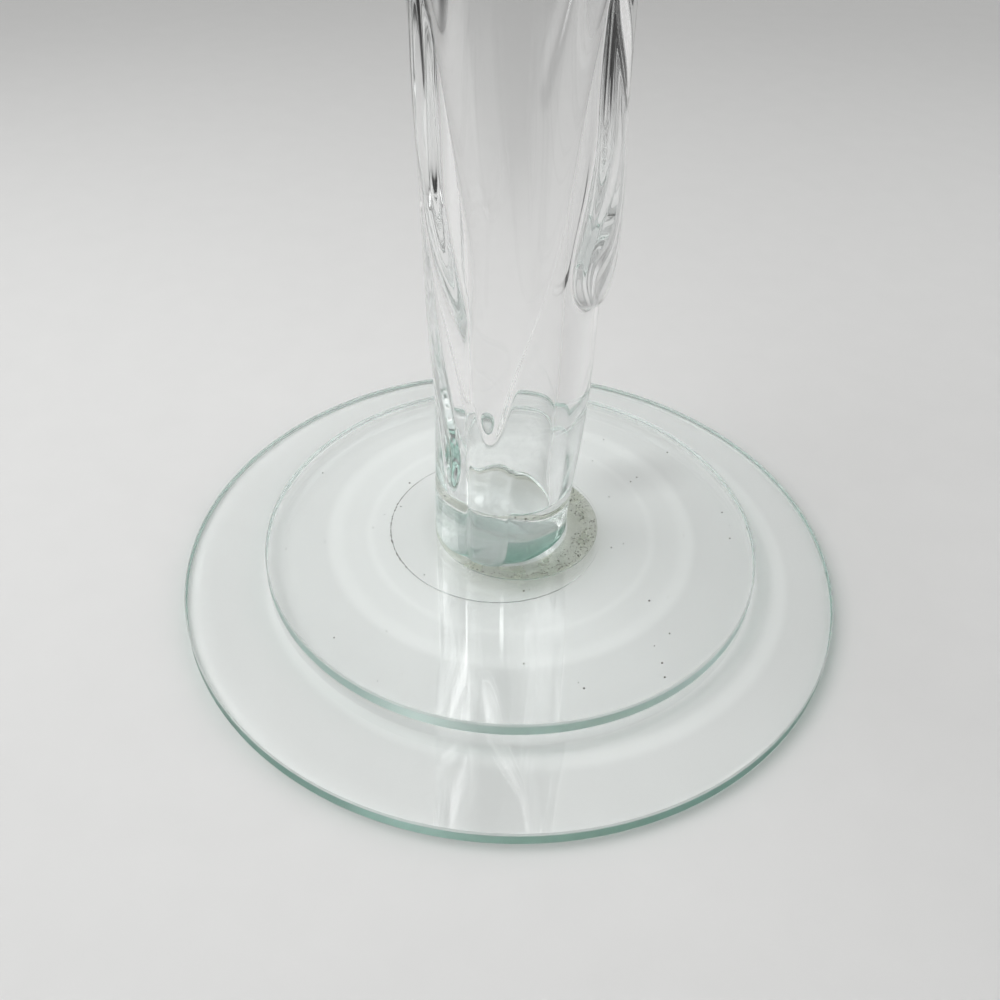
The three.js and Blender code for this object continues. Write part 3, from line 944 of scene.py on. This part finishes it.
# %% Column tree
def column_tree(material):
    """The whole column: relief on the blank, the waved rim, the lean and its place on the base."""
    tree = bpy.data.node_groups.new("Column of runs", "GeometryNodeTree")
    tree.interface.new_socket("Blank", in_out="INPUT", socket_type="NodeSocketGeometry")
    for label in ("Relief", "Ripple", "Lean", "Bow", "Rim wave"):
        tree.interface.new_socket(label, in_out="INPUT", socket_type="NodeSocketFloat")
    tree.interface.new_socket("Column", in_out="OUTPUT", socket_type="NodeSocketGeometry")
    given = tree.nodes.new("NodeGroupInput").outputs
    result = tree.nodes.new("NodeGroupOutput").inputs
    position = tree.nodes.new("GeometryNodeInputPosition").outputs[0]
    split = tree.nodes.new("ShaderNodeSeparateXYZ")
    tree.links.new(position, split.inputs[0])
    x, y, z = split.outputs
    height = math_of(tree, "DIVIDE", z, MM)
    turn = math_of(tree, "ARCTAN2", x, math_of(tree, "MULTIPLY", y, -1.0))
    relief = column_relief(tree, given, position, turn, height)
    lean = column_lean(tree, given, height)
    offset = tree.nodes.new("ShaderNodeCombineXYZ")
    sideways = math_of(tree, "MULTIPLY", math_of(tree, "SUBTRACT", COLUMN_X, lean), MM)
    side = math_of(tree, "SINE", turn)
    tree.links.new(math_of(tree, "MULTIPLY_ADD", side, relief, sideways), offset.inputs["X"])
    front = math_of(tree, "MULTIPLY", math_of(tree, "COSINE", turn), -1.0)
    tree.links.new(math_of(tree, "MULTIPLY_ADD", front, relief, COLUMN_Y * MM), offset.inputs["Y"])
    drop = column_drop(tree, given, turn, height, relief)
    tree.links.new(math_of(tree, "ADD", drop, column_low.z), offset.inputs["Z"])
    moved = tree.nodes.new("GeometryNodeSetPosition")
    tree.links.new(given["Blank"], moved.inputs["Geometry"])
    tree.links.new(offset.outputs[0], moved.inputs["Offset"])
    real = tree.nodes.new("GeometryNodeRealizeInstances")
    tree.links.new(moved.outputs[0], real.inputs[0])
    finish = tree.nodes.new("GeometryNodeSetMaterial")
    finish.inputs["Material"].default_value = material
    tree.links.new(real.outputs[0], finish.inputs["Geometry"])
    tree.links.new(finish.outputs[0], result["Column"])
    return tree


def run_tree(piece, tree, values):
    """Evaluate a tree on an object and give back the plain mesh."""
    modifier = piece.modifiers.new(tree.name, "NODES")
    modifier.node_group = tree
    for item in tree.interface.items_tree:
        if item.in_out == "INPUT" and item.name in values:
            modifier[item.identifier] = values[item.name]
    evaluated = piece.evaluated_get(bpy.context.evaluated_depsgraph_get())
    mesh = bpy.data.meshes.new_from_object(evaluated)
    piece.modifiers.remove(modifier)
    return mesh


clear_glass = column_glass()
column_nodes = column_tree(clear_glass)
print("nodes in the column's tree:", len(column_nodes.nodes))

# %% Column piece
column_mesh = run_tree(blank, column_nodes, {
    "Relief": 1.0, "Ripple": RIPPLE, "Lean": COLUMN_LEAN, "Bow": BOW, "Rim wave": RIM_WAVE,
})
bpy.data.objects.remove(blank)
column_mesh.name = "column_glass"
column = place("column_glass", column_mesh, clear_glass)
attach(column, "root")
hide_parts("vase_column")
print("column:", len(column_mesh.polygons), "faces")

# %% [markdown]
# ## Dust
# Dust has settled on the sticky rim of the adhesive pad, a few specks lie on the upper disc, and a fine line
# of it marks the edge of the film between the discs, with clots at the left. Placing hundreds of specks by
# hand would be slow, so a tree scatters points over a flat patch, leaves out a circle, and puts a small
# flattened ball or a bent fibre on each point.

# %% Dust finish and shapes
DUST_ROUGHNESS = 0.9
DUST_SCALE = 400
DUST_DARK = (0.03, 0.03, 0.026, 1)
DUST_LIGHT = (0.2, 0.19, 0.16, 1)
FIBRE_STEPS = 8
FIBRE_SWEEP = 1.7
FIBRE_SIDES = 5
FIBRE_RADIUS = 0.08
SPECK_FLATNESS = 0.5


def dust_material():
    """Grey-brown dust that varies a little from speck to speck."""
    material = bpy.data.materials.new("settled_dust")
    material.use_nodes = True
    tree = material.node_tree
    shader = tree.nodes["Principled BSDF"]
    shader.inputs["Roughness"].default_value = DUST_ROUGHNESS
    noise = tree.nodes.new("ShaderNodeTexNoise")
    noise.inputs["Scale"].default_value = DUST_SCALE
    coordinates = tree.nodes.new("ShaderNodeTexCoord")
    tree.links.new(coordinates.outputs["Object"], noise.inputs["Vector"])
    mix = tree.nodes.new("ShaderNodeMix")
    mix.data_type = "RGBA"
    tree.links.new(noise.outputs["Fac"], mix.inputs["Factor"])
    mix.inputs["A"].default_value = DUST_DARK
    mix.inputs["B"].default_value = DUST_LIGHT
    tree.links.new(mix.outputs["Result"], shader.inputs["Base Color"])
    return material


def random_between(tree, low, high, seed):
    """A random number for each point."""
    node = tree.nodes.new("FunctionNodeRandomValue")
    node.data_type = "FLOAT"
    for socket in node.inputs:
        if socket.enabled and socket.name in ("Min", "Max"):
            connect(tree, low if socket.name == "Min" else high, socket)
    node.inputs["Seed"].default_value = seed
    return next(socket for socket in node.outputs if socket.enabled)


def speck_shape(tree):
    """A small ball of radius 1."""
    ball = tree.nodes.new("GeometryNodeMeshIcoSphere")
    ball.inputs["Subdivisions"].default_value = 1
    return ball.outputs["Mesh"]


def fibre_shape(tree):
    """A thin bent fibre, an arc of radius 1 with closed ends."""
    arc = tree.nodes.new("GeometryNodeCurveArc")
    arc.inputs["Resolution"].default_value = FIBRE_STEPS
    arc.inputs["Sweep Angle"].default_value = FIBRE_SWEEP
    ring = tree.nodes.new("GeometryNodeCurvePrimitiveCircle")
    ring.inputs["Resolution"].default_value = FIBRE_SIDES
    ring.inputs["Radius"].default_value = FIBRE_RADIUS
    tube = tree.nodes.new("GeometryNodeCurveToMesh")
    tree.links.new(arc.outputs["Curve"], tube.inputs["Curve"])
    tree.links.new(ring.outputs["Curve"], tube.inputs["Profile Curve"])
    tube.inputs["Fill Caps"].default_value = True
    return tube.outputs["Mesh"]


dust = dust_material()
print("finish of the dust:", dust.name)

# %% Dust tree
def dust_tree(name, shape, material, seed):
    """Scatter a shape over a patch, outside a clear circle."""
    labels = ("Density", "Smallest", "Largest", "Clear X", "Clear Y", "Clear radius")
    tree = bpy.data.node_groups.new(name, "GeometryNodeTree")
    tree.interface.new_socket("Patch", in_out="INPUT", socket_type="NodeSocketGeometry")
    for label in labels:
        tree.interface.new_socket(label, in_out="INPUT", socket_type="NodeSocketFloat")
    tree.interface.new_socket("Dust", in_out="OUTPUT", socket_type="NodeSocketGeometry")
    given = tree.nodes.new("NodeGroupInput").outputs
    result = tree.nodes.new("NodeGroupOutput").inputs
    scatter = tree.nodes.new("GeometryNodeDistributePointsOnFaces")
    tree.links.new(given["Patch"], scatter.inputs["Mesh"])
    tree.links.new(given["Density"], scatter.inputs["Density"])
    scatter.inputs["Seed"].default_value = seed
    split = tree.nodes.new("ShaderNodeSeparateXYZ")
    tree.links.new(tree.nodes.new("GeometryNodeInputPosition").outputs[0], split.inputs[0])
    across = math_of(tree, "SUBTRACT", split.outputs["X"], given["Clear X"])
    along = math_of(tree, "SUBTRACT", split.outputs["Y"], given["Clear Y"])
    squares = math_of(tree, "ADD", math_of(tree, "POWER", across, 2.0), math_of(tree, "POWER", along, 2.0))
    outside = math_of(tree, "GREATER_THAN", math_of(tree, "SQRT", squares), given["Clear radius"])
    size = random_between(tree, given["Smallest"], given["Largest"], seed + 1)
    scale = tree.nodes.new("ShaderNodeCombineXYZ")
    for axis, share in (("X", 1.0), ("Y", 1.0), ("Z", SPECK_FLATNESS)):
        tree.links.new(math_of(tree, "MULTIPLY", size, share), scale.inputs[axis])
    turn = tree.nodes.new("ShaderNodeCombineXYZ")
    tree.links.new(random_between(tree, 0.0, 2 * math.pi, seed + 2), turn.inputs["Z"])
    copies = tree.nodes.new("GeometryNodeInstanceOnPoints")
    tree.links.new(scatter.outputs["Points"], copies.inputs["Points"])
    tree.links.new(outside, copies.inputs["Selection"])
    tree.links.new(shape(tree), copies.inputs["Instance"])
    tree.links.new(turn.outputs[0], copies.inputs["Rotation"])
    tree.links.new(scale.outputs[0], copies.inputs["Scale"])
    real = tree.nodes.new("GeometryNodeRealizeInstances")
    tree.links.new(copies.outputs[0], real.inputs[0])
    finish = tree.nodes.new("GeometryNodeSetMaterial")
    finish.inputs["Material"].default_value = material
    tree.links.new(real.outputs[0], finish.inputs["Geometry"])
    tree.links.new(finish.outputs[0], result["Dust"])
    return tree


print("dust tree makes", speck_shape.__name__, "or", fibre_shape.__name__)

# %% Patches for the dust
PATCH_SEGMENTS = 96
PATCH_HOLE = 2 * MM
PAD_MARGIN = 0.3 * MM
DISC_MARGIN = 3 * MM
FILM_GAP = 0.05 * MM
FILM_LINE = 0.25 * MM


def flat_ring(name, centre, inner, outer, height):
    """A flat ring that faces up, to scatter dust over."""
    points = []
    for step in range(PATCH_SEGMENTS):
        turn = 2 * math.pi * step / PATCH_SEGMENTS
        for radius in (inner, outer):
            points.append((centre.x + radius * math.cos(turn), centre.y + radius * math.sin(turn), height))
    count = len(points)
    faces = [(step, step + 1, (step + 3) % count, (step + 2) % count) for step in range(0, count, 2)]
    mesh = bpy.data.meshes.new(name)
    mesh.from_pydata(points, [], faces)
    return mesh


def circle_of(node):
    """Centre, radius, bottom and top of a round CAD piece."""
    low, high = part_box(node)
    return (low + high) / 2, (high.x - low.x) / 2, low.z, high.z


pad_centre, pad_radius, _, pad_top = circle_of("column_bond_pad")
film_centre, film_radius, film_low, film_high = circle_of("plate_bond_film")
disc_centre, disc_radius, _, disc_top = circle_of("upper_base_disc")
film_inner, film_outer = film_radius + FILM_GAP, film_radius + FILM_LINE
pad_patch = flat_ring("pad_patch", pad_centre, PATCH_HOLE, pad_radius - PAD_MARGIN, pad_top + WETTING)
film_patch = flat_ring("film_patch", film_centre, film_inner, film_outer, (film_low + film_high) / 2)
disc_patch = flat_ring("disc_patch", disc_centre, PATCH_HOLE, disc_radius - DISC_MARGIN, disc_top)
print("patches:", pad_patch.name, film_patch.name, disc_patch.name)

# %% Dust pieces
def clear_circle(x, y, radius):
    """The inputs of the circle that a dust tree leaves out, from sizes in metres."""
    return {"Clear X": x, "Clear Y": y, "Clear radius": radius}


def scattered(name, title, patch, shape, seed, slot, amount, clear):
    """A piece of dust: the amount is specks per square metre, and the smallest and largest size in mm."""
    density, smallest, largest = amount
    values = {"Density": density, "Smallest": smallest * MM, "Largest": largest * MM, **clear}
    ground = bpy.data.objects.new(name + "_patch", patch)
    scene.collection.objects.link(ground)
    mesh = run_tree(ground, dust_tree(title, shape, dust, seed), values)
    bpy.data.objects.remove(ground)
    mesh.name = name
    piece = place(name, mesh, dust)
    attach(piece, "root")
    print(name, len(mesh.polygons), "faces")


FOOT_CLEAR = clear_circle(foot_centre.x, foot_centre.y, 25 * MM)
PAD_CLEAR = clear_circle(pad_centre.x, pad_centre.y, 29 * MM)
RIGHT_CLEAR = clear_circle(60 * MM, film_centre.y, 48 * MM)
LEFT_ONLY = clear_circle(40 * MM, film_centre.y, 78 * MM)
PAD_SPECKS = (4.5e5, 0.1, 0.34)
PAD_FIBRES = (7.0e4, 0.6, 1.6)
FILM_DUST = (2.2e7, 0.05, 0.2)
FILM_CLOTS = (5.0e6, 0.15, 0.42)
DISC_SPECKS = (3.5e3, 0.1, 0.42)
# name, name of its tree, patch, shape, seed, slot, amount and the circle that stays clear
for piece_of_dust in (
    ("pad_specks", "Specks on the pad", pad_patch, speck_shape, 11, "aged_adhesive", PAD_SPECKS, FOOT_CLEAR),
    ("pad_fibres", "Fibres on the pad", pad_patch, fibre_shape, 21, "aged_adhesive", PAD_FIBRES, FOOT_CLEAR),
    ("film_line", "Line of dust", film_patch, speck_shape, 31, "clear_adhesive", FILM_DUST, RIGHT_CLEAR),
    ("film_specks", "Clots of dust", film_patch, speck_shape, 51, "clear_adhesive", FILM_CLOTS, LEFT_ONLY),
    ("disc_specks", "Specks on the disc", disc_patch, speck_shape, 41, "float_glass", DISC_SPECKS, PAD_CLEAR),
):
    scattered(*piece_of_dust)
